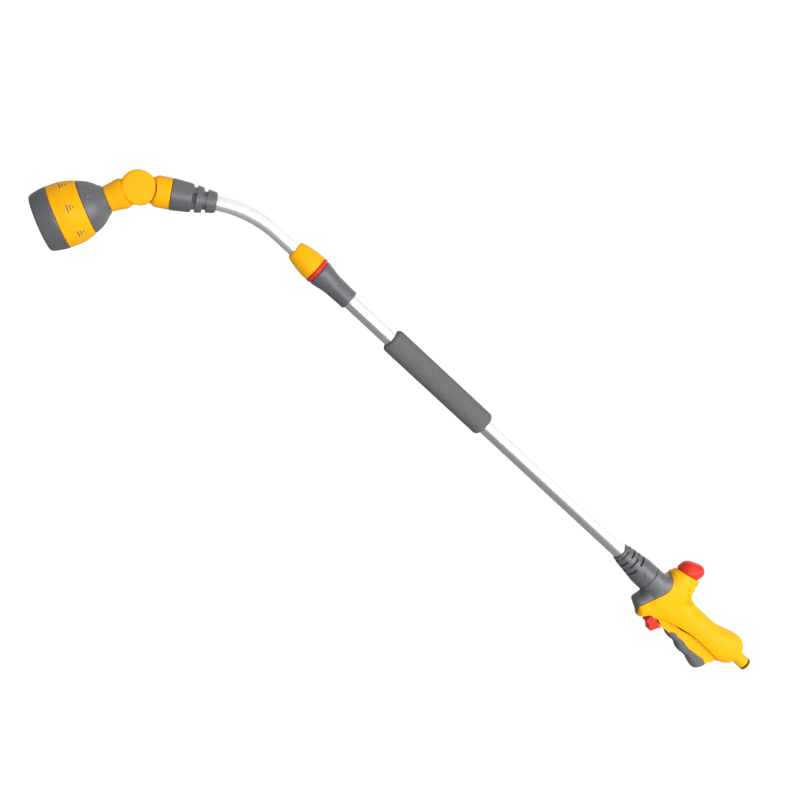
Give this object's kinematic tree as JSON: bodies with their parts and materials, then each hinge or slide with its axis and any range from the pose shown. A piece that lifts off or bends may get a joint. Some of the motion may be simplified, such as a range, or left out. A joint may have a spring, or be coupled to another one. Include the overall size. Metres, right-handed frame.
{
  "type": "telescopic watering wand",
  "caption": "Long two-part watering lance with a trigger valve handle, foam sleeve, twist-lock collar, bent neck, tilting knuckle and a turning multi-pattern spray head.",
  "frame": {"origin": "centre of the hose tail's end face, on the hose tail's axis", "axes": "+X along the hose tail, out of the handle (the lance runs along -X); +Z is the side of the flow knob, +Y to the wand's far side"},
  "size_m": [1.0174, 0.07, 0.2359],
  "materials": {
    "yellow": "smooth moulded plastic, soft sheen",
    "grey": "fine textured moulded plastic",
    "soft_grey": "matt over-moulded grip",
    "red": "smooth moulded plastic",
    "foam": "closed-cell foam, matt",
    "alu": "satin anodised",
    "natural": "natural moulded plastic, hidden inside",
    "dark": "dark moulded plastic",
    "seal": "nitrile rubber",
    "steel": "stainless steel",
    "brass": "turned brass"
  },
  "bodies": {
    "handle": {"hose_tail": "yellow", "hose_tail_o_ring": "seal", "handle_shell_near": "yellow", "handle_shell_far": "yellow", "shell_screws": "steel", "front_saddle": "grey", "tube_socket": "grey", "inlet_pipe": "natural", "trigger_valve_body": "natural", "valve_spring": "steel", "flow_valve_body": "natural", "trigger_yoke": "yellow", "trigger_pin": "steel", "lock_pin": "steel", "tube_seal": "seal", "lower_tube": "alu", "foam_sleeve": "foam", "collar_body": "grey", "collar_ring": "red", "collet": "dark"},
    "trigger": {"trigger_lever": "yellow", "trigger_pad": "soft_grey"},
    "catch": {"trigger_lock": "red"},
    "valve": {"valve_stem": "brass", "valve_seal": "seal"},
    "knob": {"flow_knob": "red", "flow_spindle": "dark", "spindle_o_ring": "seal"},
    "nut": {"collar_nut": "yellow"},
    "carriage": {"piston_bush": "dark", "piston_o_ring": "seal"},
    "gooseneck": {"upper_tube": "alu", "arm_socket": "grey", "arm_knuckle": "yellow", "knuckle_o_ring": "seal", "knuckle_screw": "steel"},
    "head": {"head_knuckle": "yellow", "rear_shell": "grey", "feed_plate": "natural", "port_seal": "seal", "port_spring": "steel", "detent_ball": "steel", "turret_screw": "steel"},
    "turret": {"distributor": "natural", "selector_ring": "yellow", "front_bezel": "grey", "chamber_walls": "natural", "spray_plate": "grey"}
  },
  "joints": [
    {"name": "trigger_pull", "type": "hinge", "parent": "handle", "child": "trigger", "pos_m": [-0.1326, 0, -0.027], "axis": [0, -1, 0], "range_deg": [0, 6], "stiffness_Nm_per_rad": 3, "springref_deg": -14.32},
    {"name": "valve_lift", "type": "slide", "parent": "handle", "child": "valve", "axis": [0, 0, 1], "range_m": [0, 0.0028], "deforming": ["valve_spring"]},
    {"name": "catch_swing", "type": "hinge", "parent": "handle", "child": "catch", "pos_m": [-0.1442, 0, -0.0326], "axis": [0, 1, 0], "range_deg": [0, 12]},
    {"name": "flow_turn", "type": "hinge", "parent": "handle", "child": "knob", "pos_m": [-0.1438, 0, 0.0328], "axis": [-0.213, 0, 0.977], "range_deg": [0, 90]},
    {"name": "collar_twist", "type": "hinge", "parent": "handle", "child": "nut", "pos_m": [-0.7536, 0, -0.003], "axis": [1, 0, 0], "range_deg": [0, 90]},
    {"name": "lance_slide", "type": "slide", "parent": "handle", "child": "carriage", "axis": [-1, 0, 0], "range_m": [0, 0.33]},
    {"name": "gooseneck_swivel", "type": "hinge", "parent": "carriage", "child": "gooseneck", "pos_m": [-0.2566, 0, -0.003], "axis": [1, 0, 0], "range_deg": [-180, 180]},
    {"name": "head_tilt", "type": "hinge", "parent": "gooseneck", "child": "head", "pos_m": [-0.9391, 0, -0.06892], "axis": [0, -1, 0], "range_deg": [-70, 50]},
    {"name": "pattern_turn", "type": "hinge", "parent": "head", "child": "turret", "pos_m": [-0.9391, 0, -0.06892], "axis": [-0.4493, 0, -0.8934], "continuous": true}
  ],
  "couplings": [
    {"joint": "valve_lift", "follows": "trigger_pull", "m_per_rad": 0.025}
  ]
}
